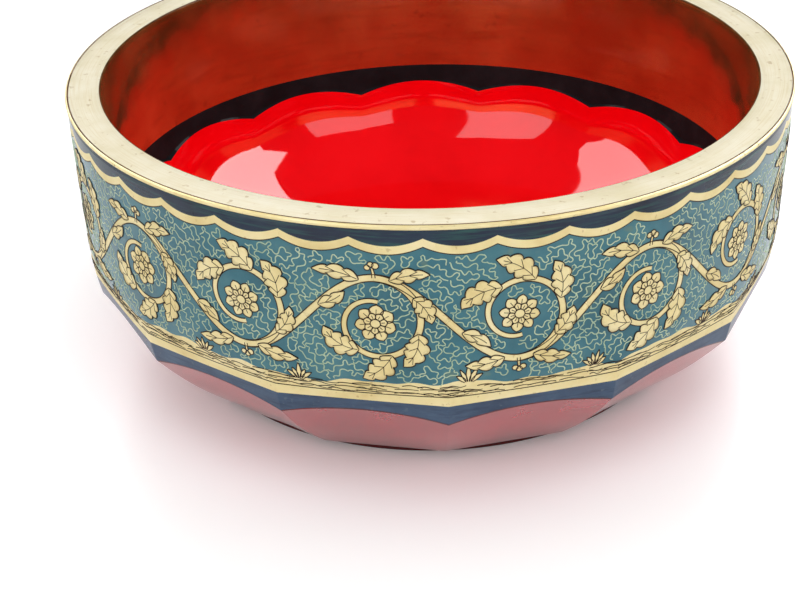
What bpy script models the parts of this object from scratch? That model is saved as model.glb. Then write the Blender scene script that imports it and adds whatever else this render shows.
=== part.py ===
"""A turned and carved wooden bowl with a gilded rim, a painted wall, a fluted lower body and a base disc.

The bowl is a glued stack of four turned pieces. Each one has a tongue, or on the base disc a spigot, that
sits in a groove or socket of its neighbour. The rim and the wall are round. The lobed bowl under them starts
round and is carved to fourteen sides, down to an arched edge where fourteen flutes run in to the bottom.
Inside, fourteen gouged lobes lie behind the outer ridges, so the wood keeps an even thickness.
All sizes are in metres. The base stands on z = 0, and one ridge points to -Y.
"""

import math

import bmesh
import bpy

# Sides of the carved body and steps of the meshes
SIDES = 14
STEPS_PER_SIDE = 6
TURNED_STEPS = 96
EDGE_ROWS = 6
FLUTE_ROWS = 7
LOBE_ROWS = 9
BEAD_STEPS = 6
MERGE_DISTANCE = 0.000001
SHARP_ANGLE = math.radians(16)

# Joints of the stack
GLUE_GAP = 0.0003
TONGUE_WIDTH = 0.0026
TONGUE_HEIGHT = 0.0024

# Rim ring
RIM_RADIUS = 0.1104
RIM_WIDTH = 0.0106
RIM_THICKNESS = 0.0024
RIM_EDGE_BEVEL = 0.0005
BEAD_WIDTH = 0.0005
BEAD_HEIGHT = 0.0014
LINE_WIDTH = 0.0005
LINE_DEPTH = 0.0002

# Wall ring
WALL_HEIGHT = 0.0390
WALL_SETBACK = 0.0003
WALL_TAPER = 0.0023
WALL_THICKNESS = 0.0112

# Lobed bowl: round at its top, many-sided at its edge, with flutes below the edge and lobes inside
BOWL_HEIGHT = 0.0464
EDGE_DROP = 0.0207
EDGE_BAND = 0.0057
SIDE_HOLLOW = 0.0021
ROLL_HEIGHT = 0.0160
ROLL_IN = 0.0017
BASE_RADIUS = 0.0805
RIDGE_SWELL = 0.0007
FLUTE_ARCH = 0.0036
FLOOR_THICKNESS = 0.0085
FLOOR_RADIUS = 0.0460
LOBE_TOP_DROP = 0.0048
LOBE_ARCH = 0.0020
ARCH_POWER = 4
LOBE_DEPTH = 0.0036
LOBE_INSET = 0.0012
LOBE_LEDGE = 0.0006
LOBE_POWER = 6

# Base disc
BASE_HEIGHT = 0.0025
BASE_INSET = 0.0040
BASE_BEVEL = 0.0008
BASE_RING_WIDTH = 0.0140
BASE_RECESS = 0.0010
SPIGOT_RADIUS = 0.0320
SPIGOT_HEIGHT = 0.0035

# Levels of the stack, from the table up
BASE_TOP = BASE_HEIGHT
BOWL_BOTTOM = BASE_TOP + GLUE_GAP
BOWL_TOP = BOWL_BOTTOM + BOWL_HEIGHT
WALL_BOTTOM = BOWL_TOP + GLUE_GAP
WALL_TOP = WALL_BOTTOM + WALL_HEIGHT
RIM_BOTTOM = WALL_TOP + GLUE_GAP
RIM_TOP = RIM_BOTTOM + RIM_THICKNESS
EDGE = BOWL_TOP - EDGE_DROP
FLOOR = BOWL_BOTTOM + FLOOR_THICKNESS
LOBE_TOP = BOWL_TOP - LOBE_TOP_DROP

# Radii that follow from the sizes above
WALL_RADIUS = RIM_RADIUS - WALL_SETBACK
RIM_INNER_RADIUS = RIM_RADIUS - RIM_WIDTH
HALF_SIDE = math.pi / SIDES


def ridge_radius(z):
    """Outer radius on a ridge of the wall: a straight taper that rolls in towards the wall's lower edge."""
    taper = WALL_TAPER * (RIM_BOTTOM - z) / (RIM_BOTTOM - EDGE)
    roll = max(0.0, EDGE + ROLL_HEIGHT - z) / ROLL_HEIGHT
    return WALL_RADIUS - taper - ROLL_IN * roll * roll


def inner_radius(z):
    """Inner radius of the smooth wall above the lobes."""
    lowest = ridge_radius(LOBE_TOP) - WALL_THICKNESS
    return lowest + (RIM_INNER_RADIUS - lowest) * (z - LOBE_TOP) / (RIM_TOP - LOBE_TOP)


def smooth(share):
    share = max(0.0, min(1.0, share))
    return share * share * (3.0 - 2.0 * share)


def side_hollow(z):
    """How far the middle of a side lies inside the ridges: nothing at the bowl's top, all of it near its edge."""
    return SIDE_HOLLOW * smooth((BOWL_TOP - z) / (EDGE_DROP - EDGE_BAND))


def from_ridge(angle):
    """Share of the way from a ridge (0) to the middle of a side (1)."""
    turn = (angle + math.pi / 2) % (2 * HALF_SIDE)
    return 1.0 - abs(turn - HALF_SIDE) / HALF_SIDE


def side_curve(angle):
    """1 in the middle of a side and 0 on its ridges."""
    return 1.0 - (1.0 - from_ridge(angle)) ** 2


def lobe_curve(angle):
    """1 behind an outer ridge, where a lobe is deepest, and 0 on the cusp between two lobes."""
    return 1.0 - from_ridge(angle) ** 2


def joint_radius(z):
    """Middle of the wood at a joint."""
    return (inner_radius(z) + ridge_radius(z)) / 2


def tongue(z):
    """Section of a tongue that hangs under the face at height z, from its outer side to its inner side."""
    outer = joint_radius(z) + TONGUE_WIDTH / 2
    inner = outer - TONGUE_WIDTH
    return [(outer, z), (outer, z - TONGUE_HEIGHT), (inner, z - TONGUE_HEIGHT), (inner, z)]


def groove(z):
    """Section of the groove in the face at height z, from inner to outer, clear of the tongue above it."""
    outer = joint_radius(z + GLUE_GAP) + TONGUE_WIDTH / 2 + GLUE_GAP
    inner = outer - TONGUE_WIDTH - 2 * GLUE_GAP
    return [(inner, z), (inner, z - TONGUE_HEIGHT), (outer, z - TONGUE_HEIGHT), (outer, z)]


def rim_profile():
    """Closed section of the rim ring, clockwise from its inner top edge."""
    points = [(RIM_INNER_RADIUS, RIM_TOP - RIM_EDGE_BEVEL), (RIM_INNER_RADIUS + RIM_EDGE_BEVEL, RIM_TOP)]
    bead_start = RIM_RADIUS - BEAD_WIDTH
    points += [(bead_start - LINE_WIDTH, RIM_TOP), (bead_start - LINE_WIDTH / 2, RIM_TOP - LINE_DEPTH)]
    for step in range(BEAD_STEPS + 1):
        turn = math.pi / 2 - math.pi * step / BEAD_STEPS
        height = RIM_TOP - BEAD_HEIGHT / 2 * (1.0 - math.sin(turn))
        points.append((bead_start + BEAD_WIDTH * math.cos(turn), height))
    points.append((ridge_radius(RIM_BOTTOM), RIM_BOTTOM))
    points += tongue(RIM_BOTTOM)
    points.append((inner_radius(RIM_BOTTOM), RIM_BOTTOM))
    return points


def base_profile():
    """Section of the base disc from the top of its spigot, down its outer side, to the recess under it."""
    radius = BASE_RADIUS - BASE_INSET
    recess = radius - BASE_BEVEL - BASE_RING_WIDTH
    return [
        (0.0, BASE_TOP + SPIGOT_HEIGHT),
        (SPIGOT_RADIUS, BASE_TOP + SPIGOT_HEIGHT),
        (SPIGOT_RADIUS, BASE_TOP),
        (radius, BASE_TOP),
        (radius, BASE_BEVEL),
        (radius - BASE_BEVEL, 0.0),
        (recess, 0.0),
        (recess - BASE_RECESS, BASE_RECESS),
        (0.0, BASE_RECESS),
    ]


def wall_profile():
    """Closed section of the wall ring, clockwise from its inner top edge."""
    points = [(inner_radius(WALL_TOP), WALL_TOP)]
    points += groove(WALL_TOP)
    points += [(ridge_radius(WALL_TOP), WALL_TOP), (ridge_radius(WALL_BOTTOM), WALL_BOTTOM)]
    points += tongue(WALL_BOTTOM)
    points.append((inner_radius(WALL_BOTTOM), WALL_BOTTOM))
    return points


def lobe_side(angle):
    """Inside of the lobed bowl at an angle, from the middle of the floor up to its inner top edge."""
    curve = lobe_curve(angle)
    points = [(0.0, FLOOR)]
    for row in range(LOBE_ROWS + 1):
        rise = row / LOBE_ROWS
        turn = math.pi / 2 * (1.0 - rise)
        radius = FLOOR_RADIUS + (inner_radius(LOBE_TOP) - FLOOR_RADIUS) * math.cos(turn)
        z = LOBE_TOP - (LOBE_TOP - FLOOR) * math.sin(turn)
        depth = (LOBE_DEPTH * curve - LOBE_INSET) * rise ** LOBE_POWER
        points.append((radius + depth, z + LOBE_ARCH * rise ** ARCH_POWER * curve))
    ledge = LOBE_TOP + LOBE_ARCH * curve + LOBE_LEDGE
    points += [(inner_radius(ledge), ledge), (inner_radius(BOWL_TOP), BOWL_TOP)]
    return points


def edge_side(angle):
    """Outer side of the bowl's top band at an angle, from the joint down to the edge above the flutes."""
    curve = side_curve(angle)
    drop = EDGE_DROP - FLUTE_ARCH * curve
    heights = [BOWL_TOP - drop * row / EDGE_ROWS for row in range(EDGE_ROWS + 1)]
    return [(ridge_radius(z) - side_hollow(z) * curve, z) for z in heights]


def flute_side(angle):
    """A flute at an angle, from its arched top on the edge down to the bottom."""
    curve = side_curve(angle)
    arch_top = EDGE + FLUTE_ARCH
    edge_radius = ridge_radius(EDGE)
    edge_hollow = edge_radius - ridge_radius(arch_top) + side_hollow(arch_top)
    base_hollow = BASE_RADIUS * (1.0 - math.cos(HALF_SIDE))
    points = []
    for row in range(1, FLUTE_ROWS + 1):
        share = row / FLUTE_ROWS
        swell = RIDGE_SWELL * math.sin(math.pi * share)
        hollow = edge_hollow + (base_hollow - edge_hollow) * share
        radius = edge_radius + (BASE_RADIUS - edge_radius) * share + swell - hollow * curve
        z = EDGE + (BOWL_BOTTOM - EDGE) * share - swell + FLUTE_ARCH * (1.0 - share) * curve
        points.append((radius, z))
    return points


def bowl_section(angle):
    """Section of the lobed bowl at an angle, from the middle of its floor over its top edge to its socket."""
    socket = SPIGOT_RADIUS + GLUE_GAP
    socket_top = BASE_TOP + SPIGOT_HEIGHT + GLUE_GAP
    points = lobe_side(angle)
    points += groove(BOWL_TOP)
    points += edge_side(angle)
    points += flute_side(angle)
    points += [(socket, BOWL_BOTTOM), (socket, socket_top), (0.0, socket_top)]
    return points


def lacquer(name, colour, roughness, metallic):
    material = bpy.data.materials.new(name)
    material.use_nodes = True
    shader = material.node_tree.nodes["Principled BSDF"]
    shader.inputs["Base Color"].default_value = (*colour, 1.0)
    shader.inputs["Roughness"].default_value = roughness
    shader.inputs["Metallic"].default_value = metallic
    return material


def place(name, mesh, collection, material):
    mesh.materials.append(material)
    piece = bpy.data.objects.new(name, mesh)
    collection.objects.link(piece)
    return piece


def turned(name, profile, closed, collection, material):
    """A turned piece: its section, spun round the axis."""
    mesh = bpy.data.meshes.new(name)
    edges = [(index, index + 1) for index in range(len(profile) - 1)]
    if closed:
        edges.append((len(profile) - 1, 0))
    mesh.from_pydata([(radius, 0.0, z) for radius, z in profile], edges, [])
    piece = place(name, mesh, collection, material)
    screw = piece.modifiers.new("turn", "SCREW")
    screw.steps = TURNED_STEPS
    screw.render_steps = TURNED_STEPS
    screw.use_merge_vertices = True
    screw.merge_threshold = MERGE_DISTANCE
    return piece


def carved(name, section, collection, material):
    """A carved piece: a loft round the axis through its section at each angle."""
    shape = bmesh.new()
    count = SIDES * STEPS_PER_SIDE
    rings = []
    for step in range(count):
        angle = 2 * math.pi * step / count - math.pi / 2
        places = [(r * math.cos(angle), r * math.sin(angle), z) for r, z in section(angle)]
        rings.append([shape.verts.new(co) for co in places])
    for ring, after in zip(rings, rings[1:] + rings[:1]):
        for row in range(len(ring) - 1):
            shape.faces.new((ring[row], ring[row + 1], after[row + 1], after[row]))
    bmesh.ops.remove_doubles(shape, verts=shape.verts, dist=MERGE_DISTANCE)
    bmesh.ops.recalc_face_normals(shape, faces=shape.faces)
    mesh = bpy.data.meshes.new(name)
    shape.to_mesh(mesh)
    shape.free()
    mesh.shade_smooth()
    mesh.set_sharp_from_angle(angle=SHARP_ANGLE)
    return place(name, mesh, collection, material)


def main():
    for piece in list(bpy.data.objects):
        bpy.data.objects.remove(piece, do_unlink=True)
    bowl = bpy.data.collections.new("painted_bowl")
    bpy.context.scene.collection.children.link(bowl)
    gold = lacquer("rim_gold", (0.72, 0.58, 0.30), 0.32, 0.7)
    teal = lacquer("wall_teal", (0.06, 0.20, 0.27), 0.25, 0.0)
    red = lacquer("bowl_red", (0.75, 0.01, 0.012), 0.15, 0.0)
    black = lacquer("base_black", (0.02, 0.016, 0.014), 0.30, 0.0)
    turned("rim_ring", rim_profile(), True, bowl, gold)
    turned("wall_ring", wall_profile(), True, bowl, teal)
    carved("lobed_bowl", bowl_section, bowl, red)
    turned("base_disc", base_profile(), False, bowl, black)


main()
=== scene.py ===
"""The painted bowl on a pale floor: lacquer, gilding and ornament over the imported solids.

Lengths named without a unit are in metres. Painted lines on the wall are placed in millimetres, as an arc
length along the wall and a depth under the top of the rim.
"""

import math
import random

import bpy
import numpy as np
from mathutils import Matrix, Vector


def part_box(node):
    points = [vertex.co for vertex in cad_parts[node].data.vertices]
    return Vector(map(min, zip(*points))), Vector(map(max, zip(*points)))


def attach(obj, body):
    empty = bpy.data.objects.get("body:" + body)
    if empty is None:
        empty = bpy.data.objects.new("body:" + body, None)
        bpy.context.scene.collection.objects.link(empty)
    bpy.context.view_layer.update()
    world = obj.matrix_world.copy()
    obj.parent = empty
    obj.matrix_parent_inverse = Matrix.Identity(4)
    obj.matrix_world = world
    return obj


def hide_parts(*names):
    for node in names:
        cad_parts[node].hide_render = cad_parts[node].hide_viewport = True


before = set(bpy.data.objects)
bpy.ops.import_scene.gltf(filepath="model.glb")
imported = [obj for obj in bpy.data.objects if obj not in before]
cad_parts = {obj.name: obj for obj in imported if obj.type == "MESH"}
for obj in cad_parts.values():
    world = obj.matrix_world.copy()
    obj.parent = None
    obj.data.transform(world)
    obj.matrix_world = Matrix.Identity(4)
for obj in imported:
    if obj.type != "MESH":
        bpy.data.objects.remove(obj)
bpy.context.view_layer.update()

MM = 0.001
BODY = "root"

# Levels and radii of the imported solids
RIM_TOP = float(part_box("rim_ring")[1][2])
RIM_RADIUS = float(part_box("rim_ring")[1][0])
BOWL_TOP = float(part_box("lobed_bowl")[1][2])
BOWL_BOTTOM = float(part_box("lobed_bowl")[0][2])
DISC_RADIUS = float(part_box("base_disc")[1][0])

# Form of the body, as in the solids, with the carving of the lobes softened
SIDES = 14
HALF_SIDE = math.pi / SIDES
RIM_WIDTH = 0.0106
RIM_THICKNESS = 0.0024
RIM_EDGE_BEVEL = 0.0005
BEVEL_ROUND = 0.3
BEAD_WIDTH = 0.0005
BEAD_HEIGHT = 0.0014
BEAD_STEPS = 8
LINE_WIDTH = 0.0005
LINE_DEPTH = 0.0002
WALL_SETBACK = 0.0003
WALL_TAPER = 0.0023
WALL_THICKNESS = 0.0112
EDGE_DROP = 0.0207
EDGE_BAND = 0.0057
SIDE_HOLLOW = 0.0021
ROLL_HEIGHT = 0.0160
ROLL_IN = 0.0017
BASE_RADIUS = 0.0805
RIDGE_SWELL = 0.0007
FLUTE_ARCH = 0.0036
FLOOR_THICKNESS = 0.0085
FLOOR_RADIUS = 0.0460
LOBE_TOP_DROP = 0.0061
LOBE_ARCH = 0.0034
ARCH_POWER = 4
LOBE_DEPTH = 0.0014
LOBE_INSET = 0.0012
LOBE_LEDGE = 0.0006
LOBE_POWER = 2
DISC_BEVEL = 0.0008
DISC_RING = 0.0140
DISC_RECESS = 0.0010

RIM_BOTTOM = RIM_TOP - RIM_THICKNESS
EDGE = BOWL_TOP - EDGE_DROP
FLOOR = BOWL_BOTTOM + FLOOR_THICKNESS
LOBE_TOP = BOWL_TOP - LOBE_TOP_DROP
WALL_RADIUS = RIM_RADIUS - WALL_SETBACK
RIM_INNER = RIM_RADIUS - RIM_WIDTH
SEAM = (RIM_TOP - BOWL_TOP) / MM

# Steps round the bowl, a whole number for each side and for each scallop, and rows of faces up its surfaces
SCALLOPS = 36
COLUMNS = SIDES * SCALLOPS
WALL_COLUMNS = 2 * COLUMNS
FRONT = -math.pi / 2
SCALLOP_SHIFT = 9 * 2 * math.pi / WALL_COLUMNS
NAVY_ROWS = 3
BORDER_ROWS = 2
UPPER_GROUND_ROWS = 8
LOWER_GROUND_ROWS = 4
SOIL_ROWS = 3
SLATE_ROWS = 5
COPPER_ROWS = 8
FLUTE_ROWS = 16
LOBE_ROWS = 36

# Turn between two faces, in degrees, from which the edge between them is sharp
RIM_CREASE = 40
WALL_CREASE = 30
BOWL_CREASE = 9
BASE_CREASE = 30

# Painted bands on the outside, in millimetres under the top of the rim
NAVY_CUSP = 3.7
NAVY_SAG = 2.4
BORDER_WIDTH = 2.35
OUTLINE_WIDTH = 0.32
GROUND_TOP = 48.7
GROUND_WAVE = 0.9
GROUND_TURNS = ((9, 0.3, 0.6), (23, 1.9, 0.5), (41, 4.0, 0.4), (67, 2.2, 0.3))
GROUND_LINE = 52.7
LINE_THICK = 0.35
BORDER_BOTTOM = 56.1
BORDER_ARCH = 0.4
EDGE_LINE = 0.0006
BAND_TOP_INSIDE = 38.6

# Raised paint, in millimetres off the wall and across a line
SUNK = -0.12
GOLD_TOP = 0.06
GOLD_CROWN = 0.03
BLADE_SHOULDER = 0.5
BLADE_SWELL = 0.75
DARK_TOP = 0.12
LINE_SHOULDER = 0.7
LAYER = 0.10
DARK_HALF = 0.17
THIN_HALF = 0.13
LEAST_HALF = 0.05

# Frieze, in millimetres: a running scroll of alternating spirals with leaves and rosettes
SEED = 7
SCROLLS = 18
LENGTH_ROUND = 2 * math.pi * WALL_RADIUS / MM
SPAN = LENGTH_ROUND / SCROLLS
MIDDLE = 28.6
WAVE_HEIGHT = 13.0
STEM_HALF = 1.05
STEM_POINTS = 40
STEM_REACH = 0.505
SPIRAL_SHIFT = 0.8
SPIRAL_END = 6.6
SPIRAL_TURN = 2 * math.pi * 1.02
SPIRAL_THIN = 0.35
SPIRAL_POINTS = 64

# How much a hand varies what it repeats
VARY_ROSETTE = 0.05
VARY_WIDTH = 0.08
VARY_LEAF = 0.10
VARY_BERRY = 0.12
VARY_TURN = 0.15
VARY_GRASS = 0.20

# Leaves of a spiral by place along it, swing, length, width and bend, and leaves of the running stem
LEAVES = (
    (0.15, 0.45, 9.5, 5.4, -0.9),
    (0.29, 0.60, 12.5, 7.0, -1.0),
    (0.43, 0.80, 12.5, 7.2, -0.8),
    (0.57, 0.70, 13.0, 7.0, -1.2),
)
STEM_LEAF_PLACE = 4.0
STEM_LEAF_SWING = 0.45
STEM_LEAF_LENGTH = 12.0
STEM_LEAF_WIDTH = 4.6
STEM_LEAF_BEND = 0.55
STEM_LEAF_LOBES = 3
SPUR_PLACE = -15.5
SPUR_SWING = 0.2
SPUR_LENGTH = 9.0
SPUR_WIDTH = 4.2
SPUR_BEND = 0.7
SPUR_LOBES = 2
LEAF_LOBES = 4
LOBE_POINTS = 8
NOTCH = 0.38
NOTCH_POWER = 0.6
LEAF_BLUNT = 0.8
MIDDLE_VEIN_END = 0.86
SIDE_VEIN_ROOT = 0.45
SIDE_VEIN_REACH = 0.68
SIDE_VEIN_STEPS = 5
SIDE_VEIN_POINTS = 4

# Rosettes, in shares of their radius, and sprigs with berries
ROSETTE_RADIUS = 5.8
UPPER_PETALS = 7
LOWER_PETALS = 8
INNER_RING = 0.58
PETAL_START = 0.12
PETAL_WIDTH = 1.45
PETAL_TIP = 1.5
PETAL_BLUNT = 0.7
PETAL_POINTS = 12
PETAL_VEIN = slice(4, 9)
BUTTON = 0.24
DOT_POINTS = 11
SPRIG_LENGTH = 2.6
SPRIG_LEAN = 0.3
SPRIG_HALF = (0.45, 0.3)
SPRIG_POINTS = 14
BERRY_RADIUS = 0.85
BERRY_REACH = 1.25
BERRY_TURNS = (-1.1, 0.0, 1.1)

# Grass and strokes on the painted ground
TUFT_BLADES = (4, 6)
TUFT_PLACE = (0.85, 1.15)
TUFT_SUNK = 0.3
TUFT_SPREAD = 1.7
TUFT_WIDTH = 2.2
TUFT_HEIGHT = 5.0
TUFT_FALL = 4.0
TUFT_HALF = 0.62
TUFT_ROOT = 0.12
TUFT_BLUNT = 0.8
TUFT_POINTS = 10
STROKE_LANES = 3
STROKE_TOP = 1.0
STROKE_PITCH = 1.15
STROKE_WANDER = 0.35
STROKE_LENGTH = (4.0, 12.0)
STROKE_SWELL = (0.15, 0.5)
STROKE_BENDS = (0.8, 2.4)
STROKE_CLEAR = 0.2
STROKE_SHIFT = 2.0
STROKE_STEP = (4.5, 6.5)
STROKE_START = 1.1
STROKE_THIN = 0.6
STROKE_POINTS = 14

# Squiggles over the ground between the gold: cells of a grid, and waves and curls in millimetres
CELL = 0.25
GOLD_ROOM = 0.25
ROOM_ROUND = 0.3
MARK_FINE = 5
MARK_ACROSS = 25
SQUIGGLE_TOP = 0.09
SQUIGGLE_SUNK = -0.05
SQUIGGLE_HALF = 0.27
SQUIGGLE_PITCH = 4.2
SQUIGGLE_WAVES = 40
SQUIGGLE_FADE = 5
SQUIGGLE_TURN = 0.8
SQUIGGLE_STEP = 0.36
SQUIGGLE_CURL = 3.0
SQUIGGLE_SWING = 0.62
SQUIGGLE_DRIFT = 0.37
SQUIGGLE_START = 6.0
SQUIGGLE_LEAST = 20
SMOOTHINGS = 4
CELL_SIDES = 3

# Clear coats: a thin one over the paint outside, a deep one over the red inside and a polished one underneath
PAINT_IOR = 1.5
LACQUER_IOR = 1.6
UNDERSIDE_IOR = 2.2
COAT_ROUGHNESS = 0.04

# Brushwork: where the noise turns from one tone to the next, and the skin of the lacquer
TONE_STOPS = (0.30, 0.50, 0.70)
STREAK_RANGE = (0.48, 0.68)
STREAKS_ROUND = 5.0
SPECK_RANGE = (0.66, 0.74)
SHEEN_SCALE = 90.0
SHEEN_RANGE = (0.3, 0.7)
SHEEN_SPREAD = (-0.06, 0.08)
SKIN_SCALE = 2600.0
SKIN_HEIGHT = 0.00003
SKIN_STRENGTH = 0.35

# Finishes by their tones, in steps of 255 of a screen colour. Specks and streaks are (tone, scale, amount).
GOLD_TONES = ((226, 204, 142), (240, 222, 164), (246, 231, 182))
PALE_TONES = ((227, 217, 184), (237, 228, 201), (243, 236, 214))
FINISHES = {
    "rim_gold": {
        "name": "rim_gilding", "tones": PALE_TONES, "mottle": 60.0, "roughness": 0.42, "coat": 0.04,
        "specks": ((180, 152, 100), 420.0, 0.5), "streaks": ((218, 200, 152), 2600.0, 0.45),
    },
    "bead_gold": {
        "name": "bead_gilding", "tones": GOLD_TONES, "mottle": 80.0, "roughness": 0.34, "coat": 0.4,
        "metallic": 0.2, "specks": ((74, 42, 24), 500.0, 0.5),
    },
    # Brown line on the inner bevel and in the groove by the bead: a painted line that in the groove is also a
    # painted dark reflection of the rounded edge
    "brown_line": {
        "name": "rim_line_and_painted_reflection", "tones": ((70, 44, 24), (96, 62, 34), (120, 84, 48)), "mottle": 120.0,
        "roughness": 0.5, "coat": 0.2,
    },
    "gold": {
        "name": "gold_paint", "tones": GOLD_TONES, "mottle": 70.0, "roughness": 0.42, "coat": 0.3,
        "metallic": 0.05, "specks": ((170, 132, 78), 600.0, 0.4),
    },
    "dark": {
        "name": "dark_line", "tones": ((34, 22, 18), (48, 31, 22), (64, 42, 28)), "mottle": 150.0,
        "roughness": 0.45, "coat": 0.2,
    },
    "teal": {
        "name": "teal_ground", "tones": ((40, 92, 104), (52, 110, 124), (72, 124, 132)), "mottle": 45.0,
        "roughness": 0.36, "coat": 0.8, "specks": ((104, 126, 104), 140.0, 0.5),
    },
    "navy": {
        "name": "navy_scallop", "tones": ((10, 22, 44), (16, 34, 58), (24, 48, 68)), "mottle": 70.0,
        "roughness": 0.34, "coat": 0.7, "streaks": ((36, 90, 84), 900.0, 0.75),
    },
    "slate": {
        "name": "slate_band", "tones": ((46, 62, 86), (60, 80, 106), (72, 94, 120)), "mottle": 60.0,
        "roughness": 0.36, "coat": 0.6, "specks": ((98, 114, 126), 500.0, 0.35),
        "streaks": ((36, 48, 72), 700.0, 0.5),
    },
    "copper": {
        "name": "copper_lacquer", "tones": ((150, 88, 46), (172, 106, 58), (192, 126, 74)), "mottle": 22.0,
        "roughness": 0.15, "coat": 0.3, "metallic": 0.8, "specks": ((132, 66, 34), 300.0, 0.4),
        "streaks": ((146, 78, 40), 400.0, 0.5),
    },
    "black": {
        "name": "black_lacquer", "tones": ((20, 22, 24), (26, 28, 31), (34, 35, 38)), "mottle": 80.0,
        "roughness": 0.5, "coat": 0.1,
    },
    "red": {
        "name": "red_lacquer", "tones": ((238, 0, 12), (248, 2, 16), (253, 6, 20)), "mottle": 28.0,
        "roughness": 0.3, "coat": 1.0, "gloss": LACQUER_IOR,
    },
    # Red lacquer of the underside, painted darker than the red inside: painted shade under the bowl
    "under_red": {
        "name": "red_underside_painted_shade", "tones": ((142, 6, 18), (160, 10, 26), (176, 20, 36)), "mottle": 40.0,
        "roughness": 0.3, "coat": 1.0, "gloss": UNDERSIDE_IOR,
    },
    "dark_red": {
        "name": "dark_red_line", "tones": ((62, 8, 14), (80, 12, 18), (98, 20, 24)), "mottle": 90.0,
        "roughness": 0.35, "coat": 0.4,
    },
    # Lacquer of the base disc, painted dark red-brown: painted shade under the bowl
    "base_brown": {
        "name": "base_lacquer_painted_shade", "tones": ((70, 12, 14), (88, 16, 18), (104, 24, 24)), "mottle": 90.0,
        "roughness": 0.35, "coat": 0.5,
    },
    "squiggle": {
        "name": "squiggle_line", "tones": ((152, 178, 152), (176, 196, 164), (194, 208, 176)),
        "mottle": 120.0, "roughness": 0.4, "coat": 0.6,
    },
}

# Floor: its own glow in the picture is even near the bowl and rises to white between two distances
FLOOR_SIZE = 4.0
FLOOR_STEPS = 96
FLOOR_TONE = (250, 249, 250)
FLOOR_ROUGHNESS = 0.35
FLOOR_GLOW = 0.12
GLOW_RISE = (0.30, 1.10)

# Studio: angles are from the camera's side, to its right
WORLD_STRENGTH = 0.06
LAMP_DISTANCE = 1.0
# Soft lamps by angle, height angle, width, height and radiance
SOFTBOXES = {
    "front_right_softbox": (40, 30, 0.70, 0.60, 1.7),
    "front_left_softbox": (-40, 30, 0.70, 0.60, 1.7),
    "right_softbox": (115, 38, 0.90, 0.70, 1.3),
    "left_softbox": (-115, 38, 0.90, 0.70, 1.2),
    "top_softbox": (0, 72, 1.20, 1.20, 1.6),
}
# Upright panes that show in the gloss, by the angle that they face, left, right, bottom, top and radiance
PANES = {
    "front_right_pane": (40, -0.42, 0.21, 0.00, 0.87, 1.9),
    "front_left_pane": (-5, -1.28, -0.25, 0.08, 1.88, 2.3),
    "right_pane": (128, -1.43, 0.75, 0.20, 1.63, 7.0),
    "left_pane": (-131, -0.75, 1.35, 0.25, 1.62, 4.5),
}

# Camera
FOCAL_PIXELS = 1803.836
IMAGE_WIDTH = 800
SENSOR = 36.0
CLIP_START = 0.01
CAMERA_PITCH = math.radians(28.995)
CAMERA_ROLL = math.radians(-1.603)
CAMERA_YAW = math.radians(-0.84)
CAMERA_UNIT = 0.1097
CAMERA_DISTANCE = 5.043 * CAMERA_UNIT
CAMERA_RIGHT = -0.098 * CAMERA_UNIT
CAMERA_UP = -0.656 * CAMERA_UNIT


# Form

def smooth(share):
    share = np.clip(share, 0.0, 1.0)
    return share * share * (3.0 - 2.0 * share)


def ridge_radius(z):
    taper = WALL_TAPER * (RIM_BOTTOM - z) / (RIM_BOTTOM - EDGE)
    roll = np.maximum(0.0, EDGE + ROLL_HEIGHT - z) / ROLL_HEIGHT
    return WALL_RADIUS - taper - ROLL_IN * roll * roll


def inner_radius(z):
    lowest = ridge_radius(LOBE_TOP) - WALL_THICKNESS
    return lowest + (RIM_INNER - lowest) * (z - LOBE_TOP) / (RIM_TOP - LOBE_TOP)


def side_hollow(z):
    return SIDE_HOLLOW * smooth((BOWL_TOP - z) / (EDGE_DROP - EDGE_BAND))


def from_ridge(angle):
    """1 halfway between two ridges and 0 on a ridge."""
    turn = (angle - FRONT) % (2 * HALF_SIDE)
    return 1.0 - np.abs(turn - HALF_SIDE) / HALF_SIDE


def side_curve(angle):
    return 1.0 - (1.0 - from_ridge(angle)) ** 2


def lobe_curve(angle):
    return 1.0 - from_ridge(angle) ** 2


def soft_lobe(angle):
    """Depth of a lobe, like its curve but with a worn crease between two lobes."""
    worn = (1.0 + np.cos(math.pi * from_ridge(angle))) / 2
    return (lobe_curve(angle) + worn) / 2


def outer_radius(angle, z):
    """Radius of the outside of the wall, above the edge of the flutes."""
    return ridge_radius(z) - side_hollow(z) * side_curve(angle)


def scallop(angle):
    """1 in the middle of a scallop and 0 on the cusps between two."""
    turn = (angle - FRONT + SCALLOP_SHIFT) * SCALLOPS / (2 * math.pi) % 1.0
    return 1.0 - (2.0 * turn - 1.0) ** 2


def ground_wave(angle):
    """Uneven upper edge of the painted ground, in millimetres."""
    return GROUND_WAVE * sum(size * np.sin(count * angle + shift) for count, shift, size in GROUND_TURNS)


def turn_of(length):
    """Angle round the bowl at an arc length in millimetres from the front."""
    return FRONT + length * MM / WALL_RADIUS


def on_wall(flat, lift):
    """Points on the outside from arc lengths, depths and lifts off the surface, all in millimetres."""
    angle = turn_of(flat[:, 0])
    z = RIM_TOP - flat[:, 1] * MM
    radius = outer_radius(angle, z) + lift * MM
    return np.stack([radius * np.cos(angle), radius * np.sin(angle), z], axis=1)


# Sections of the four pieces: each is a list of (radius, height, finish of the strip to the next point)

def strip(top, bottom, rows, finish):
    """Points down the outside of the wall between two depths in millimetres, without the last one."""
    depths = [top + (bottom - top) * row / rows for row in range(rows)]
    return [(depth, finish) for depth in depths]


def outside(points, angle):
    heights = [(RIM_TOP - depth * MM, finish) for depth, finish in points]
    return [(float(outer_radius(angle, z)), z, finish) for z, finish in heights]


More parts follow.
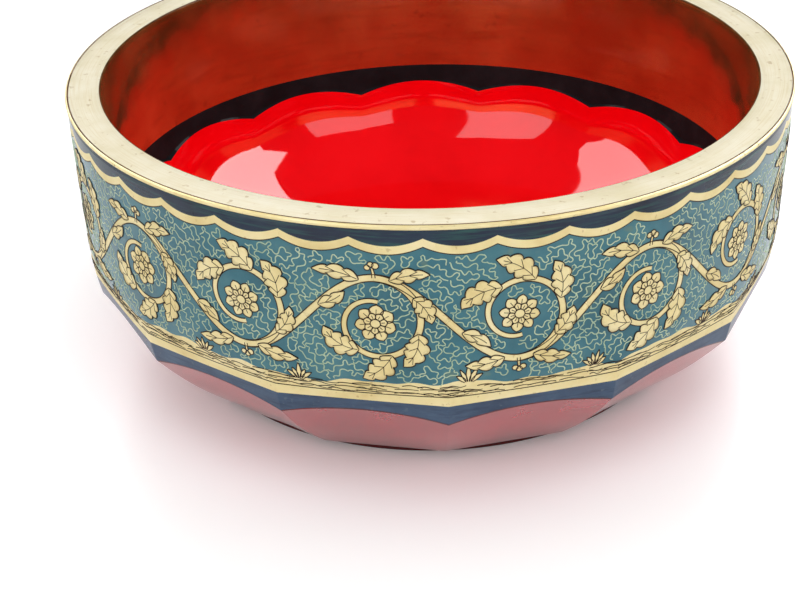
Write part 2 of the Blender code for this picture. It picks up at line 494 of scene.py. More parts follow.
def rim_section(angle):
    start = RIM_RADIUS - BEAD_WIDTH
    eased = BEVEL_ROUND * RIM_EDGE_BEVEL
    points = [
        (RIM_INNER, RIM_TOP - RIM_EDGE_BEVEL, "brown_line"),
        (RIM_INNER + eased, RIM_TOP - eased, "brown_line"),
        (RIM_INNER + RIM_EDGE_BEVEL, RIM_TOP, "rim_gold"),
        # The groove by the bead is painted brown, which also stands for a painted dark reflection of the rounded
        # edge
        (start - LINE_WIDTH, RIM_TOP, "brown_line"),
        (start - LINE_WIDTH / 2, RIM_TOP - LINE_DEPTH, "brown_line"),
    ]
    for step in range(BEAD_STEPS + 1):
        turn = math.pi / 2 - math.pi * step / BEAD_STEPS
        height = RIM_TOP - BEAD_HEIGHT / 2 * (1.0 - math.sin(turn))
        finish = "bead_gold" if step < BEAD_STEPS else "navy"
        points.append((start + BEAD_WIDTH * math.cos(turn), height, finish))
    points.append((float(ridge_radius(RIM_BOTTOM)), RIM_BOTTOM, "navy"))
    points.append((float(inner_radius(RIM_BOTTOM)), RIM_BOTTOM, "copper"))
    return points


def wall_section(angle):
    navy = NAVY_CUSP + NAVY_SAG * float(scallop(angle))
    gold = navy + BORDER_WIDTH
    teal = gold + OUTLINE_WIDTH
    points = [(float(inner_radius(RIM_BOTTOM)), RIM_BOTTOM, "navy")]
    lines = strip(RIM_THICKNESS / MM, navy, NAVY_ROWS, "navy") + strip(navy, gold, BORDER_ROWS, "gold")
    lines += strip(gold, teal, 1, "dark") + strip(teal, SEAM, UPPER_GROUND_ROWS, "teal") + [(SEAM, "black")]
    points += outside(lines, angle)
    points.append((float(inner_radius(BOWL_TOP)), BOWL_TOP, "black"))
    band_top = RIM_TOP - BAND_TOP_INSIDE * MM
    for row in range(COPPER_ROWS):
        z = band_top + (RIM_BOTTOM - band_top) * row / COPPER_ROWS
        points.append((float(inner_radius(z)), z, "copper"))
    return points


def lobe_points(angle):
    """Inside of the bowl, from the middle of the floor up to its top edge."""
    lobe = float(lobe_curve(angle))
    hollow = LOBE_DEPTH * float(soft_lobe(angle)) - LOBE_INSET
    points = [(0.0, FLOOR, "red")]
    for row in range(LOBE_ROWS + 1):
        rise = row / LOBE_ROWS
        turn = math.pi / 2 * (1.0 - rise)
        radius = FLOOR_RADIUS + (float(inner_radius(LOBE_TOP)) - FLOOR_RADIUS) * math.cos(turn)
        z = LOBE_TOP - (LOBE_TOP - FLOOR) * math.sin(turn)
        depth = hollow * rise ** LOBE_POWER
        finish = "red" if row < LOBE_ROWS else "black"
        points.append((radius + depth, z + LOBE_ARCH * rise ** ARCH_POWER * lobe, finish))
    ledge = LOBE_TOP + LOBE_ARCH * lobe + LOBE_LEDGE
    points.append((float(inner_radius(ledge)), ledge, "black"))
    points.append((float(inner_radius(BOWL_TOP)), BOWL_TOP, "teal"))
    return points


def flute_points(angle):
    """A flute, from its arched top on the edge down to the bottom."""
    side = float(side_curve(angle))
    edge_radius = float(ridge_radius(EDGE))
    arch_top = EDGE + FLUTE_ARCH
    edge_hollow = edge_radius - float(ridge_radius(arch_top)) + float(side_hollow(arch_top))
    base_hollow = BASE_RADIUS * (1.0 - math.cos(HALF_SIDE))
    points = []
    for share in [EDGE_LINE / (EDGE - BOWL_BOTTOM)] + [row / FLUTE_ROWS for row in range(1, FLUTE_ROWS + 1)]:
        swell = RIDGE_SWELL * math.sin(math.pi * share)
        hollow = edge_hollow + (base_hollow - edge_hollow) * share
        radius = edge_radius + (BASE_RADIUS - edge_radius) * share + swell - hollow * side
        z = EDGE + (BOWL_BOTTOM - EDGE) * share - swell + FLUTE_ARCH * (1.0 - share) * side
        # The flutes take the darker red of the underside: painted shade
        points.append((radius, z, "under_red"))
    return points


def bowl_section(angle):
    side = float(side_curve(angle))
    ground = GROUND_TOP + float(ground_wave(angle))
    below_line = GROUND_LINE + LINE_THICK
    border = BORDER_BOTTOM - BORDER_ARCH * side
    edge = (RIM_TOP - EDGE - FLUTE_ARCH * side) / MM
    lines = strip(SEAM, ground, LOWER_GROUND_ROWS, "teal") + strip(ground, GROUND_LINE, SOIL_ROWS, "gold")
    lines += strip(GROUND_LINE, below_line, 1, "dark") + strip(below_line, border, BORDER_ROWS, "gold")
    lines += strip(border, edge, SLATE_ROWS, "slate") + [(edge, "dark_red")]
    # The bottom face takes the same darker red of painted shade
    middle = (0.0, BOWL_BOTTOM, "under_red")
    return lobe_points(angle) + outside(lines, angle) + flute_points(angle) + [middle]


def base_section(angle):
    ring = DISC_RADIUS - DISC_BEVEL
    recess = ring - DISC_RING
    eased = BEVEL_ROUND * DISC_BEVEL
    # The top, side, bevel and foot ring of the disc take the dark red-brown of painted shade
    return [
        (0.0, BOWL_BOTTOM, "base_brown"),
        (DISC_RADIUS, BOWL_BOTTOM, "base_brown"),
        (DISC_RADIUS, DISC_BEVEL, "base_brown"),
        (DISC_RADIUS - eased, eased, "base_brown"),
        (ring, 0.0, "base_brown"),
        (recess, 0.0, "black"),
        (recess - DISC_RECESS, DISC_RECESS, "black"),
        (0.0, DISC_RECESS, "black"),
    ]


# Meshes

def make_piece(name, verts, faces, materials):
    mesh = bpy.data.meshes.new(name)
    mesh.from_pydata(verts, [], faces)
    for material in materials:
        mesh.materials.append(material)
    piece = bpy.data.objects.new(name, mesh)
    bpy.context.scene.collection.objects.link(piece)
    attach(piece, BODY)
    mesh.shade_smooth()
    return piece


def lathe(name, section, node, finishes, crease, columns=COLUMNS):
    """A piece lofted round the axis through its section.

    A section that starts and ends on the axis is closed there, and any other one is a closed loop.
    """
    angles = [FRONT + 2 * math.pi * step / columns for step in range(columns)]
    rings = [section(angle) for angle in angles]
    rows = len(rings[0])
    on_axis = rings[0][0][0] == 0.0
    verts = []
    index = np.zeros((columns, rows), int)
    for row in range(rows):
        pole = on_axis and row in (0, rows - 1)
        for step, angle in enumerate(angles):
            if step == 0 or not pole:
                radius, z, _ = rings[step][row]
                verts.append((radius * math.cos(angle), radius * math.sin(angle), z))
            index[step, row] = len(verts) - 1
    names = sorted({finish for _, _, finish in rings[0]})
    faces = []
    slots = []
    for row in range(rows - 1 if on_axis else rows):
        after = (row + 1) % rows
        for step in range(columns):
            beside = (step + 1) % columns
            corners = (index[step, row], index[step, after], index[beside, after], index[beside, row])
            faces.append(tuple(dict.fromkeys(int(corner) for corner in corners)))
            slots.append(names.index(rings[0][row][2]))
    piece = make_piece(name, verts, faces, [finishes[key] for key in names])
    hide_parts(node)
    piece.data.polygons.foreach_set("material_index", slots)
    piece.data.set_sharp_from_angle(angle=math.radians(crease))
    return piece


# Raised paintwork

BLADE = [
    (-1.0, SUNK),
    (-1.0, GOLD_TOP),
    (-BLADE_SHOULDER, GOLD_TOP + BLADE_SWELL * GOLD_CROWN),
    (0.0, GOLD_TOP + GOLD_CROWN),
]
BLADE += [(-across, lift) for across, lift in reversed(BLADE[:3])]
DARK_LINE = [(-1.0, SUNK), (-LINE_SHOULDER, DARK_TOP), (LINE_SHOULDER, DARK_TOP), (1.0, SUNK)]
SQUIGGLE = [(-1.0, SQUIGGLE_SUNK), (0.0, SQUIGGLE_TOP), (1.0, SQUIGGLE_SUNK)]


def raised(profile, layer):
    """A profile on a higher layer, so that it covers the lines of the layers below it."""
    return [(across, lift if lift == SUNK else lift + LAYER * layer) for across, lift in profile]


def side_of(path):
    """Unit directions across a path."""
    along = np.gradient(path, axis=0)
    along = along / np.maximum(np.linalg.norm(along, axis=1, keepdims=True), 1e-9)
    return np.stack([-along[:, 1], along[:, 0]], axis=1)


def arc_path(start, heading, length, bend, count):
    """A path from a start whose heading turns evenly by the bend over its length."""
    turn = heading + bend * (np.arange(count - 1) + 0.5) / (count - 1)
    steps = np.stack([np.cos(turn), np.sin(turn)], axis=1) * length / (count - 1)
    return np.concatenate([[start], start + np.cumsum(steps, axis=0)])


def zero_crossings(field):
    """Pairs of sides of a grid that closes round, where a zero line of the field runs from one to the other.

    Each square is cut into two triangles. A line enters and leaves a triangle by two of its three sides: one along
    the grid, one across it and one on the diagonal.
    """
    beside = np.roll(field, -1, axis=0)
    corners = {"here": field[:, :-1], "along": beside[:, :-1], "up": field[:, 1:], "across": beside[:, 1:]}
    number = CELL_SIDES * np.arange(field.size).reshape(field.shape)
    ahead = np.roll(number, -1, axis=0)
    sides = {
        "along": (number[:, :-1], "here", "along"),
        "along_up": (number[:, 1:], "up", "across"),
        "up": (number[:, :-1] + 1, "here", "up"),
        "up_ahead": (ahead[:, :-1] + 1, "along", "across"),
        "diagonal": (number[:, :-1] + 2, "here", "across"),
    }
    cut = {key: (corners[a] > 0) != (corners[b] > 0) for key, (_, a, b) in sides.items()}
    pairs = []
    for triangle in (("along", "up_ahead", "diagonal"), ("diagonal", "along_up", "up")):
        for first, second in ((0, 1), (1, 2), (0, 2)):
            one, other = triangle[first], triangle[second]
            both = cut[one] & cut[other]
            pairs += zip(sides[one][0][both].tolist(), sides[other][0][both].tolist())
    return pairs


def crossing_place(field, side):
    """Grid place where the field is zero on a side."""
    column, row = divmod(side // CELL_SIDES, field.shape[1])
    step = ((1, 0), (0, 1), (1, 1))[side % CELL_SIDES]
    start = field[column, row]
    end = field[(column + step[0]) % field.shape[0], row + step[1]]
    share = start / (start - end)
    return column + 0.5 + share * step[0], row + 0.5 + share * step[1]


def zero_lines(field):
    """The zero lines of a field as lists of grid places."""
    joined = {}
    for one, other in zero_crossings(field):
        joined.setdefault(one, []).append(other)
        joined.setdefault(other, []).append(one)
    ends = [side for side, others in joined.items() if len(others) == 1]
    lines = []
    for side in ends + list(joined):
        line = []
        while side in joined:
            line.append(crossing_place(field, side))
            others = joined.pop(side)
            side = next((other for other in others if other in joined), None)
        if line:
            lines.append(np.array(line))
    return lines


def evenly(path, step):
    """A path with its jitter smoothed out and its points at even steps."""
    path[:, 0] = np.unwrap(path[:, 0], period=LENGTH_ROUND)
    for _ in range(SMOOTHINGS):
        path[1:-1] = (path[:-2] + 2.0 * path[1:-1] + path[2:]) / 4.0
    reach = np.concatenate([[0.0], np.cumsum(np.linalg.norm(np.diff(path, axis=0), axis=1))])
    places = np.arange(0.0, reach[-1], step)
    return np.stack([np.interp(places, reach, path[:, axis]) for axis in range(2)], axis=1)


class Relief:
    """Raised paint gathered as thin closed solids that follow the wall."""

    def __init__(self):
        self.verts = []
        self.faces = []

    def band(self, path, half, profile):
        """A solid along a flat path, with a half width at each point and a profile of (across, lift)."""
        across = np.array([part[0] for part in profile])
        lift = np.array([part[1] for part in profile])
        half = np.broadcast_to(half, len(path))
        flat = path[:, None, :] + side_of(path)[:, None, :] * (half[:, None] * across)[:, :, None]
        index = len(self.verts) + np.arange(len(path) * len(profile)).reshape(len(path), len(profile))
        beside = np.roll(index, -1, axis=1)
        sides = np.stack([index[:-1], beside[:-1], beside[1:], index[1:]], axis=-1)
        self.verts += on_wall(flat.reshape(-1, 2), np.tile(lift, len(path))).tolist()
        self.faces += sides.reshape(-1, 4).tolist() + [index[0, ::-1].tolist(), index[-1].tolist()]

    def build(self, name, material, slot):
        return make_piece(name, self.verts, self.faces, [material])


class Frieze:
    """The painted frieze: gold leaves and scrolls with dark lines, and pale squiggles over the ground."""

    def __init__(self):
        self.draw = random.Random(SEED)
        self.gold = Relief()
        self.outlines = Relief()
        self.veins = Relief()
        self.squiggles = Relief()
        self.strokes = Relief()
        self.cells = (round(LENGTH_ROUND / CELL), round(GROUND_TOP / CELL))
        self.taken = np.zeros(self.cells, bool)

    def vary(self, value, share):
        return value * (1.0 + share * self.draw.uniform(-1.0, 1.0))

    def cell(self, points):
        long = (points[..., 0] / CELL).astype(int) % self.cells[0]
        return long, np.clip((points[..., 1] / CELL).astype(int), 0, self.cells[1] - 1)

    def mark(self, path, half):
        """Note the ground that a gold shape covers."""
        half = np.broadcast_to(half, len(path))
        fine = np.linspace(0, len(path) - 1, MARK_FINE * len(path))
        whole = np.arange(len(path))
        spine = np.stack([np.interp(fine, whole, path[:, axis]) for axis in range(2)], axis=1)
        width = np.interp(fine, whole, half)
        across = np.linspace(-1.0, 1.0, MARK_ACROSS)
        places = spine[:, None, :] + side_of(spine)[:, None, :] * (width[:, None] * across)[:, :, None]
        self.taken[self.cell(places)] = True

    def shape(self, path, half, closed=True, layer=0):
        """A gold shape with dark outlines along both of its edges."""
        half = np.maximum(half, LEAST_HALF)
        self.gold.band(path, half, raised(BLADE, layer))
        self.mark(path, half)
        aside = side_of(path) * np.broadcast_to(half, len(path))[:, None]
        left = path - aside
        right = path + aside
        line = raised(DARK_LINE, layer)
        if closed:
            left = np.concatenate([left, right[::-1]])
        else:
            self.outlines.band(right, DARK_HALF, line)
        self.outlines.band(left, DARK_HALF, line)

    def vein(self, path, layer):
        self.veins.band(path, THIN_HALF, raised(DARK_LINE, layer))

    def leaf(self, start, heading, length, width, bend, lobes=LEAF_LOBES, layer=1):
        """A lobed leaf with a middle vein and a side vein into each lobe."""
        count = LOBE_POINTS * lobes + 1
        share = np.linspace(0.0, 1.0, count)
        path = arc_path(start, heading, length, bend, count)
        notch = 1.0 - NOTCH + NOTCH * np.abs(np.sin(math.pi * lobes * share)) ** NOTCH_POWER
        half = width / 2 * np.sin(math.pi * share ** LEAF_BLUNT) ** LEAF_BLUNT * notch
        self.shape(path, half, layer=layer)
        self.vein(path[1:int(MIDDLE_VEIN_END * count)], layer)
        aside = side_of(path)
        for lobe in range(1, lobes):
            root = int(count * (lobe - SIDE_VEIN_ROOT) / lobes)
            tip = min(count - 2, root + SIDE_VEIN_STEPS)
            for hand in (-1.0, 1.0):
                end = path[tip] + aside[tip] * half[tip] * SIDE_VEIN_REACH * hand
                self.vein(np.linspace(path[root], end, SIDE_VEIN_POINTS), layer)

    def petal(self, start, heading, length, width, layer):
        share = np.linspace(0.0, 1.0, PETAL_POINTS)
        path = arc_path(start, heading, length, 0.0, PETAL_POINTS)
        self.shape(path, width / 2 * np.sin(math.pi * share ** PETAL_TIP) ** PETAL_BLUNT, layer=layer)
        self.vein(path[PETAL_VEIN], layer)

    def dot(self, centre, radius, layer=0):
        turn = np.linspace(0.0, math.pi, DOT_POINTS)
        path = np.stack([centre[0] - radius * np.cos(turn), np.full(DOT_POINTS, centre[1])], axis=1)
        self.shape(path, radius * np.sin(turn), layer=layer)

    def rosette(self, centre, radius, petals, turn):
        """A flower with two rings of petals round a button."""
        for layer, reach in ((0, radius), (1, INNER_RING * radius)):
            for number in range(petals):
                heading = turn + 2 * math.pi * (number + 0.5 * layer) / petals
                start = centre + PETAL_START * radius * np.array([math.cos(heading), math.sin(heading)])
                width = self.vary(PETAL_WIDTH * math.pi * reach / petals, VARY_WIDTH)
                self.petal(start, heading, reach - PETAL_START * radius, width, layer)
        self.dot(centre, BUTTON * radius, layer=2)

    def sprig(self, start, heading, length, bend):
        """A thin stalk with three berries at its end."""
        path = arc_path(start, heading, length, bend, SPRIG_POINTS)
        self.shape(path, np.linspace(*SPRIG_HALF, SPRIG_POINTS), closed=False)
        ahead = path[-1] - path[-2]
        ahead = ahead / np.linalg.norm(ahead)
        for turn in BERRY_TURNS:
            away = np.array([ahead[0] * math.cos(turn) - ahead[1] * math.sin(turn),
                             ahead[0] * math.sin(turn) + ahead[1] * math.cos(turn)])
            self.dot(path[-1] + BERRY_REACH * away, self.vary(BERRY_RADIUS, VARY_BERRY))

    def tuft(self, length):
        """Grass that grows from the painted ground."""
        count = self.draw.randint(*TUFT_BLADES)
        base = GROUND_TOP + float(ground_wave(turn_of(length))) + TUFT_SUNK
        share = np.linspace(TUFT_ROOT, 1.0, TUFT_POINTS)
        for number in range(count):
            lean = (number + 0.5) / count - 0.5
            start = np.array([length + TUFT_WIDTH * lean, base])
            heading = -math.pi / 2 + TUFT_SPREAD * lean
            height = self.vary(TUFT_HEIGHT - TUFT_FALL * abs(lean), VARY_GRASS)
            path = arc_path(start, heading, height, lean, TUFT_POINTS)
            self.shape(path, self.vary(TUFT_HALF, VARY_TURN) * np.sin(math.pi * share) ** TUFT_BLUNT)

    def wave(self, length):
        """Depth of the running stem at an arc length."""
        return MIDDLE + WAVE_HEIGHT * np.cos(math.pi * (length / SPAN - 0.5))

    def on_stem(self, length):
        return np.array([length, float(self.wave(length))])

    def scroll(self, number):
        """One span of the running stem with the spiral that branches from it."""
        side = 1.0 if number % 2 == 0 else -1.0
        middle = (number + 0.5) * SPAN
        length = np.linspace(middle - STEM_REACH * SPAN, middle + STEM_REACH * SPAN, STEM_POINTS)
        self.shape(np.stack([length, self.wave(length)], axis=1), STEM_HALF, closed=False)
        centre = np.array([middle, MIDDLE - SPIRAL_SHIFT * side])
        share = np.linspace(0.0, 1.0, SPIRAL_POINTS)
        turn = side * (math.pi / 2 - SPIRAL_TURN * share)
        reach = WAVE_HEIGHT + SPIRAL_SHIFT
        radius = reach + (SPIRAL_END - reach) * share
        spiral = centre + radius[:, None] * np.stack([np.cos(turn), np.sin(turn)], axis=1)
        self.shape(spiral, STEM_HALF * (1.0 - SPIRAL_THIN * share), closed=False)
        size = self.vary(ROSETTE_RADIUS, VARY_ROSETTE)
        self.rosette(centre, size, LOWER_PETALS if side > 0 else UPPER_PETALS, self.draw.uniform(0.0, 1.0))
        self.leaves(middle, side, spiral)

    def leaves(self, middle, side, spiral):
        """Leaves and sprigs in the spaces between the spiral, the stem and the borders."""
        for place, swing, length, width, bend in LEAVES:
            point = int(place * len(spiral))
            ahead = spiral[point + 1] - spiral[point]
            heading = math.atan2(ahead[1], ahead[0]) + side * self.vary(swing, VARY_TURN)
            length = self.vary(length, VARY_WIDTH)
            width = self.vary(width, VARY_WIDTH)
            self.leaf(spiral[point], heading, length, width, side * self.vary(bend, VARY_TURN))
        for hand in (-1.0, 1.0):
            start = self.on_stem(middle + hand * STEM_LEAF_PLACE)
            heading = side * STEM_LEAF_SWING if hand > 0 else math.pi - side * STEM_LEAF_SWING
            length = self.vary(STEM_LEAF_LENGTH, VARY_LEAF)
            bend = -hand * side * STEM_LEAF_BEND
            self.leaf(start, heading, length, STEM_LEAF_WIDTH, bend, STEM_LEAF_LOBES)
        start = self.on_stem(middle + SPUR_PLACE)
        length = self.vary(SPUR_LENGTH, VARY_LEAF)
        self.leaf(start, side * SPUR_SWING, length, SPUR_WIDTH, side * SPUR_BEND, SPUR_LOBES)
        length = self.vary(SPRIG_LENGTH, VARY_TURN)
        bend = side * self.draw.uniform(-SPRIG_LEAN, SPRIG_LEAN)
        self.sprig(self.on_stem(middle), side * math.pi / 2, length, bend)

    def room(self, cells, reach):
        """Cells within a reach of those given."""
        steps = int(round(reach / CELL))
        wide = cells.copy()
        for long in range(-steps, steps + 1):
            for high in range(-steps, steps + 1):
                if math.hypot(long, high) <= steps + ROOM_ROUND:
                    moved = np.roll(cells, long, axis=0)
                    shifted = np.zeros_like(moved)
                    if high >= 0:
                        shifted[:, high:] = moved[:, :moved.shape[1] - high]
                    else:
                        shifted[:, :high] = moved[:, -high:]
                    wide |= shifted
        return wide

    def cell_places(self):
        """Arc lengths and depths of the middles of the cells."""
        length = ((np.arange(self.cells[0]) + 0.5) * CELL)[:, None]
        depth = ((np.arange(self.cells[1]) + 0.5) * CELL)[None, :]
        return length, depth

    def free_ground(self):
        """Cells of the ground that lie clear of the gold and the borders."""
        length, depth = self.cell_places()
        angle = turn_of(length)
        top = NAVY_CUSP + NAVY_SAG * scallop(angle) + BORDER_WIDTH + OUTLINE_WIDTH
        self.taken |= depth < top
        self.taken |= depth > GROUND_TOP + ground_wave(angle)
        return ~self.room(self.taken, GOLD_ROOM)

    def waves(self):
        """A field of crossed waves that closes round the bowl."""
        length, depth = self.cell_places()
        field = np.zeros(self.cells)
        one_round = 2 * math.pi / LENGTH_ROUND
        for _ in range(SQUIGGLE_WAVES):
            heading = self.draw.uniform(0.0, 2 * math.pi)
            pitch = 2 * math.pi / self.vary(SQUIGGLE_PITCH, VARY_TURN)
            around = round(pitch * math.cos(heading) / one_round) * one_round
            start = self.draw.uniform(0.0, 2 * math.pi)
            field += np.cos(around * length + pitch * math.sin(heading) * depth + start)
        return field / math.sqrt(SQUIGGLE_WAVES / 2)

    def fill(self):
        """Squiggles over the free ground: the zero lines of a field that turns back from the gold."""
        taken = ~self.free_ground()
        clear = np.zeros(self.cells)
        for _ in range(SQUIGGLE_FADE):
            clear += ~taken / SQUIGGLE_FADE
            taken = self.room(taken, CELL)
        field = self.waves() * clear + SQUIGGLE_TURN * (1.0 - clear)
        curl = 2 * math.pi * SQUIGGLE_STEP / SQUIGGLE_CURL
        for line in zero_lines(field):
            path = evenly(line * CELL, SQUIGGLE_STEP)
            if len(path) >= SQUIGGLE_LEAST:
                turn = curl * np.arange(len(path)) + self.draw.uniform(0.0, SQUIGGLE_START)
                swing = SQUIGGLE_SWING * np.sin(turn + np.sin(SQUIGGLE_DRIFT * turn))
                self.squiggles.band(path + side_of(path) * swing[:, None], SQUIGGLE_HALF, SQUIGGLE)

    def ground(self):
        """Dark strokes along the painted ground, like soil and grass."""
        share = np.linspace(0.0, 1.0, STROKE_POINTS)
        length = 0.0
        while length < LENGTH_ROUND:
            for lane in range(STROKE_LANES):
                depth = GROUND_TOP + STROKE_TOP + STROKE_PITCH * lane
                depth += self.draw.uniform(-STROKE_WANDER, STROKE_WANDER)
                reach = self.draw.uniform(*STROKE_LENGTH)
                swell = self.draw.uniform(*STROKE_SWELL)
                swell = swell * np.sin(math.pi * share * self.draw.uniform(*STROKE_BENDS))
                depths = np.minimum(depth - swell, GROUND_LINE - STROKE_CLEAR)
                start = length + self.draw.uniform(-STROKE_SHIFT, STROKE_SHIFT)
                path = np.stack([start + reach * share, depths], axis=1)
                self.strokes.band(path, THIN_HALF * (STROKE_START - STROKE_THIN * share), DARK_LINE)
            length += self.draw.uniform(*STROKE_STEP)

    def paint(self, finishes):
        for number in range(SCROLLS):
            self.scroll(number)
            self.tuft(SPAN * (number + self.draw.uniform(*TUFT_PLACE)))
        self.fill()
        self.ground()
        self.gold.build("frieze_gold", finishes["gold"], "gilding")
        self.outlines.build("frieze_outlines", finishes["dark"], "black_lacquer")
        self.veins.build("frieze_veins", finishes["dark"], "black_lacquer")
        self.squiggles.build("frieze_squiggles", finishes["squiggle"], "gilding")
        self.strokes.build("ground_strokes", finishes["dark"], "black_lacquer")


# Materials

def srgb(red, green, blue):
    """Linear colour of a screen colour in steps of 255."""
    parts = [value / 255 for value in (red, green, blue)]
    return tuple(p / 12.92 if p <= 0.04045 else ((p + 0.055) / 1.055) ** 2.4 for p in parts)


class Finish:
    """A material with its node tree, its shader and helpers that add nodes."""

    def __init__(self, name):
        self.material = bpy.data.materials.new(name)
        self.material.use_nodes = True
        self.tree = self.material.node_tree
        self.shader = self.tree.nodes["Principled BSDF"]
        self.place = self.tree.nodes.new("ShaderNodeTexCoord").outputs["Object"]

    def link(self, output, target):
        self.tree.links.new(output, target)

    def noise(self, scale, detail=4.0, roughness=0.55, vector=None):
        node = self.tree.nodes.new("ShaderNodeTexNoise")
        node.inputs["Scale"].default_value = scale
        node.inputs["Detail"].default_value = detail
        node.inputs["Roughness"].default_value = roughness
        self.link(vector or self.place, node.inputs["Vector"])
        return node.outputs["Fac"]

    def stretched(self, across, along):
        """Coordinates for marks that run round the bowl: radius and height at one scale, angle at another."""
        split = self.tree.nodes.new("ShaderNodeSeparateXYZ")
        self.link(self.place, split.inputs[0])
        x, y, z = split.outputs
        squares = self.math("ADD", self.math("MULTIPLY", x, x), self.math("MULTIPLY", y, y))
        radius = self.math("POWER", squares, 0.5)
        join = self.tree.nodes.new("ShaderNodeCombineXYZ")
        self.link(self.math("MULTIPLY", radius, across), join.inputs[0])
        self.link(self.math("MULTIPLY", self.math("ARCTAN2", y, x), along), join.inputs[1])
        self.link(self.math("MULTIPLY", z, across), join.inputs[2])
        return join.outputs[0]

    def math(self, operation, first, second):
        node = self.tree.nodes.new("ShaderNodeMath")
        node.operation = operation
        for value, target in ((first, node.inputs[0]), (second, node.inputs[1])):
            if isinstance(value, (int, float)):
                target.default_value = value
            else:
                self.link(value, target)
        return node.outputs[0]

    def distance(self):
        """Distance from the object's origin."""
        node = self.tree.nodes.new("ShaderNodeVectorMath")
        node.operation = "LENGTH"
        self.link(self.place, node.inputs[0])
        return node.outputs["Value"]

    def ramp(self, factor, stops):
        node = self.tree.nodes.new("ShaderNodeValToRGB")
        elements = node.color_ramp.elements
        while len(elements) < len(stops):
            elements.new(0.5)
        for element, (position, colour) in zip(elements, stops):
            element.position = position
            element.color = (*colour, 1.0)
        self.link(factor, node.inputs[0])
        return node.outputs["Color"]

    def over(self, below, above, factor):
        """A plain colour over another colour, by a factor."""
        node = self.tree.nodes.new("ShaderNodeMix")
        node.data_type = "RGBA"
        self.link(factor, node.inputs[0])
        self.link(below, node.inputs[6])
        node.inputs[7].default_value = (*above, 1.0)
        return node.outputs[2]

    def level(self, factor, low, high, to_low, to_high):
        node = self.tree.nodes.new("ShaderNodeMapRange")
        for value, target in zip((low, high, to_low, to_high), node.inputs[1:5]):
            target.default_value = value
        self.link(factor, node.inputs[0])
        return node.outputs[0]

    def bump(self, height, distance, strength):
        node = self.tree.nodes.new("ShaderNodeBump")
        node.inputs["Strength"].default_value = strength
        node.inputs["Distance"].default_value = distance
        self.link(height, node.inputs["Height"])
        self.link(node.outputs[0], self.shader.inputs["Normal"])

    def set(self, **values):
        for key, value in values.items():
            socket = self.shader.inputs[key.replace("_", " ").title().replace("Ior", "IOR")]
            if hasattr(value, "links"):
                self.link(value, socket)
            else:
                socket.default_value = (*value, 1.0) if isinstance(value, tuple) else value


def paint(name, tones, mottle, roughness, coat, metallic=0.0, specks=None, streaks=None, gloss=PAINT_IOR):
    """Brushed paint under lacquer: mottled tones, brush streaks, specks of wear and a slightly uneven skin."""
    finish = Finish(name)
    cloud = finish.noise(mottle, detail=6.0, roughness=0.6)
    colour = finish.ramp(cloud, [(stop, srgb(*tone)) for stop, tone in zip(TONE_STOPS, tones)])
    if streaks:
        tone, scale, amount = streaks
        lines = finish.noise(1.0, detail=5.0, roughness=0.65, vector=finish.stretched(scale, STREAKS_ROUND))
        colour = finish.over(colour, srgb(*tone), finish.level(lines, *STREAK_RANGE, 0.0, amount))
    if specks:
        tone, scale, amount = specks
        dots = finish.noise(scale, detail=2.0, roughness=0.5)
        colour = finish.over(colour, srgb(*tone), finish.level(dots, *SPECK_RANGE, 0.0, amount))
    finish.set(base_color=colour, metallic=metallic, specular_ior_level=0.0)
    finish.set(coat_weight=coat, coat_roughness=COAT_ROUGHNESS, coat_ior=gloss)
    sheen = [roughness + spread for spread in SHEEN_SPREAD]
    finish.set(roughness=finish.level(finish.noise(SHEEN_SCALE), *SHEEN_RANGE, *sheen))
    finish.bump(finish.noise(SKIN_SCALE, detail=2.0), SKIN_HEIGHT, SKIN_STRENGTH)
    return finish.material


# Floor, light and camera

def seen_directly(finish):
    """1 for what the camera sees, also in reflections, and 0 for light on other surfaces."""
    path = finish.tree.nodes.new("ShaderNodeLightPath")
    seen = finish.math("MAXIMUM", path.outputs["Is Camera Ray"], path.outputs["Is Glossy Ray"])
    return finish.math("MAXIMUM", seen, path.outputs["Is Transmission Ray"])


def make_stage():
    bpy.ops.mesh.primitive_circle_add(vertices=FLOOR_STEPS, radius=FLOOR_SIZE, fill_type="NGON")
    floor = bpy.context.object
    floor.name = "floor"
    finish = Finish("white_table")
    finish.set(base_color=srgb(*FLOOR_TONE), roughness=FLOOR_ROUGHNESS, emission_color=(1.0, 1.0, 1.0))
    glow = finish.level(finish.distance(), *GLOW_RISE, FLOOR_GLOW, 1.0)
    finish.set(emission_strength=finish.math("MULTIPLY", seen_directly(finish), glow))
    floor.data.materials.append(finish.material)


def make_world():
    world = bpy.data.worlds.new("studio")
    bpy.context.scene.world = world
    world.use_nodes = True
    background = world.node_tree.nodes["Background"]
    background.inputs["Color"].default_value = (1.0, 1.0, 1.0, 1.0)
    background.inputs["Strength"].default_value = WORLD_STRENGTH


def put(thing, axes, place):
    thing.matrix_world = Matrix([(*row, shift) for row, shift in zip(axes, place)] + [(0, 0, 0, 1)])


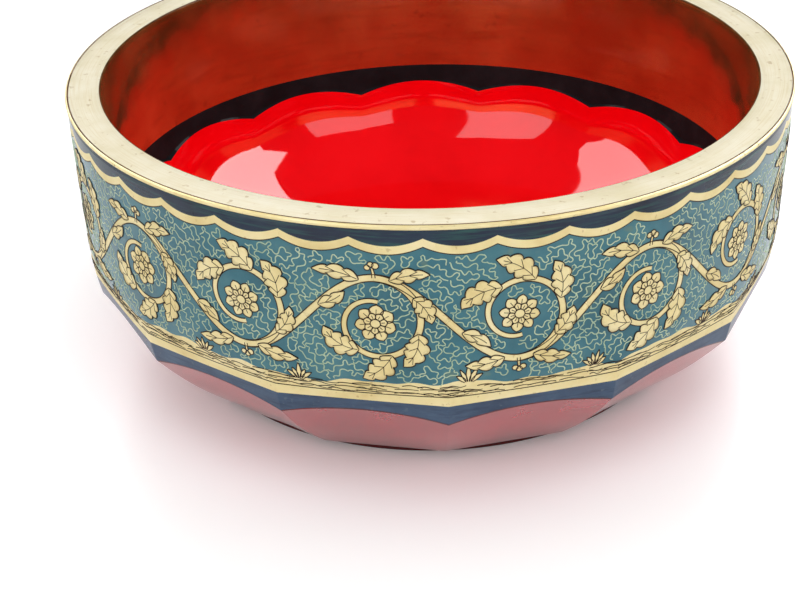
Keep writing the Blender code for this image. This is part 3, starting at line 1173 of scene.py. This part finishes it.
def hang(name, azimuth, elevation, shift, width, height, radiance):
    """A soft lamp that faces the middle of the bowl, shifted to its right and up in its own plane."""
    around = math.radians(azimuth)
    above = math.radians(elevation)
    ahead = math.cos(above)
    back = np.array([math.sin(around) * ahead, -math.cos(around) * ahead, math.sin(above)])
    right = np.array([math.cos(around), math.sin(around), 0.0])
    axes = np.stack([right, np.cross(back, right), back], axis=1)
    light = bpy.data.lights.new(name, "AREA")
    light.shape = "RECTANGLE"
    light.size = width
    light.size_y = height
    light.energy = radiance * math.pi * width * height
    lamp = bpy.data.objects.new(name, light)
    bpy.context.scene.collection.objects.link(lamp)
    put(lamp, axes, axes @ np.array([*shift, LAMP_DISTANCE]) + np.array([0.0, 0.0, EDGE]))
    return lamp


def make_lights():
    for name, (azimuth, elevation, width, height, radiance) in SOFTBOXES.items():
        hang(name, azimuth, elevation, (0.0, 0.0), width, height, radiance).visible_glossy = False
    for name, (azimuth, left, right, bottom, top, radiance) in PANES.items():
        middle = ((left + right) / 2, (bottom + top) / 2)
        hang(name, azimuth, 0, middle, right - left, top - bottom, radiance).visible_diffuse = False


def make_camera():
    forward = np.array((0.0, math.cos(CAMERA_PITCH), -math.sin(CAMERA_PITCH)))
    right = np.array((1.0, 0.0, 0.0))
    up = np.cross(right, forward)
    place = -forward * CAMERA_DISTANCE + right * CAMERA_RIGHT + up * CAMERA_UP
    level_right = right * math.cos(CAMERA_ROLL) + up * math.sin(CAMERA_ROLL)
    level_up = up * math.cos(CAMERA_ROLL) - right * math.sin(CAMERA_ROLL)
    turn = np.array(Matrix.Rotation(CAMERA_YAW, 3, "Z"))
    axes = np.stack([turn @ axis for axis in (level_right, level_up, -forward)], axis=1)
    data = bpy.data.cameras.new("camera")
    data.sensor_width = SENSOR
    data.lens = FOCAL_PIXELS * SENSOR / IMAGE_WIDTH
    data.clip_start = CLIP_START
    camera = bpy.data.objects.new("camera", data)
    bpy.context.scene.collection.objects.link(camera)
    put(camera, axes, turn @ place + np.array((0.0, 0.0, RIM_TOP)))
    bpy.context.scene.camera = camera


def make_bowl(finishes):
    lathe("rim", rim_section, "rim_ring", finishes, RIM_CREASE)
    lathe("wall", wall_section, "wall_ring", finishes, WALL_CREASE, WALL_COLUMNS)
    lathe("bowl", bowl_section, "lobed_bowl", finishes, BOWL_CREASE)
    lathe("base", base_section, "base_disc", finishes, BASE_CREASE)
    Frieze().paint(finishes)


def main():
    bpy.context.scene.view_settings.view_transform = "Standard"
    make_world()
    make_stage()
    make_lights()
    make_camera()
    make_bowl({key: paint(**look) for key, look in FINISHES.items()})


main()
